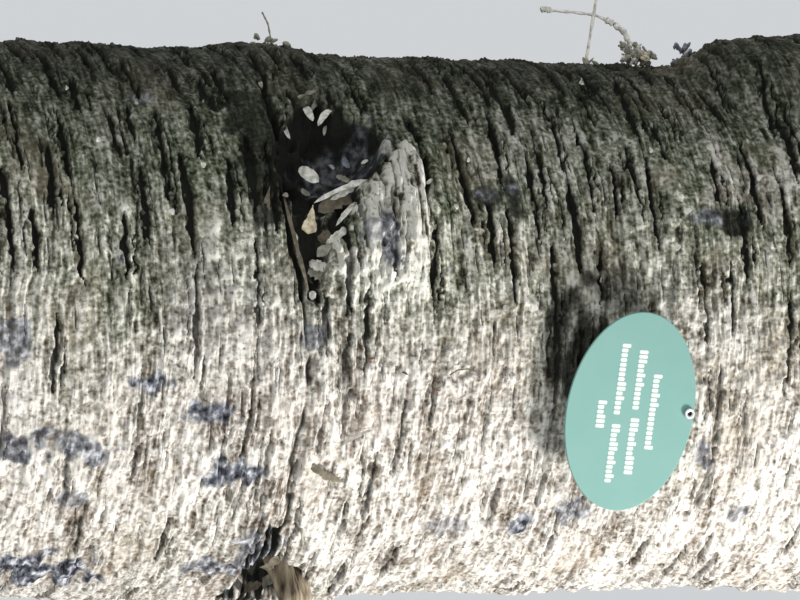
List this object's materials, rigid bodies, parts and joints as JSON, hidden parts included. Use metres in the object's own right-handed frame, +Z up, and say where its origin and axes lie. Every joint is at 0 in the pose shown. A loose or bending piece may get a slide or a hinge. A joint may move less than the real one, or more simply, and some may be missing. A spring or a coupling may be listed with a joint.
{
  "type": "monkey puzzle tree",
  "caption": "Whole monkey puzzle tree rooted in level ground: flared trunk with rings of branch scars and an oval label plate, whorled boughs and rope-like leafy shoots.",
  "frame": {"origin": "centre of the flat cut under the trunk, at ground level", "axes": "+Z up the trunk; the side with the oval label faces -Y, and +X is to its right"},
  "size_m": [6.417, 6.2186, 12],
  "materials": {
    "trunk_bark": "rough grey to cream bark in thin cross ridges, with dark slits and blue-grey lichen",
    "limb_bark": "rough grey-brown bark with old leaf scales",
    "dead_wood": "weathered pale grey dead wood",
    "foliage": "stiff dark green leaves with a slight gloss",
    "label_plastic": "matt pale green engraving laminate",
    "screw_steel": "bright zinc-plated steel"
  },
  "bodies": {
    "root": {"bough_01_a": "limb_bark", "bough_01_b": "limb_bark", "bough_01_c": "limb_bark", "bough_02_a": "limb_bark", "bough_02_b": "limb_bark", "bough_02_c": "limb_bark", "bough_03_a": "limb_bark", "bough_03_b": "limb_bark", "bough_03_c": "limb_bark", "bough_04_a": "limb_bark", "bough_04_b": "limb_bark", "bough_04_c": "limb_bark", "dead_stub": "dead_wood", "foliage_01_a": "foliage", "foliage_01_b": "foliage", "foliage_01_c": "foliage", "foliage_02_a": "foliage", "foliage_02_b": "foliage", "foliage_02_c": "foliage", "foliage_03_a": "foliage", "foliage_03_b": "foliage", "foliage_03_c": "foliage", "foliage_04_a": "foliage", "foliage_04_b": "foliage", "foliage_04_c": "foliage", "foliage_05_a": "foliage", "foliage_05_b": "foliage", "foliage_05_c": "foliage", "foliage_06_a": "foliage", "foliage_06_b": "foliage", "foliage_06_c": "foliage", "foliage_07_a": "foliage", "foliage_07_b": "foliage", "foliage_07_c": "foliage", "foliage_08_a": "foliage", "foliage_08_b": "foliage", "foliage_08_c": "foliage", "foliage_09_a": "foliage", "foliage_09_b": "foliage", "foliage_09_c": "foliage", "foliage_10_a": "foliage", "foliage_10_b": "foliage", "foliage_10_c": "foliage", "foliage_11_a": "foliage", "foliage_11_b": "foliage", "foliage_11_c": "foliage", "foliage_12_a": "foliage", "foliage_12_b": "foliage", "foliage_12_c": "foliage", "foliage_13_a": "foliage", "foliage_13_b": "foliage", "foliage_13_c": "foliage", "foliage_14_a": "foliage", "foliage_14_b": "foliage", "foliage_14_c": "foliage", "foliage_top": "foliage", "label_plate": "label_plastic", "label_screw": "screw_steel", "trunk": "trunk_bark"}
  },
  "joints": []
}
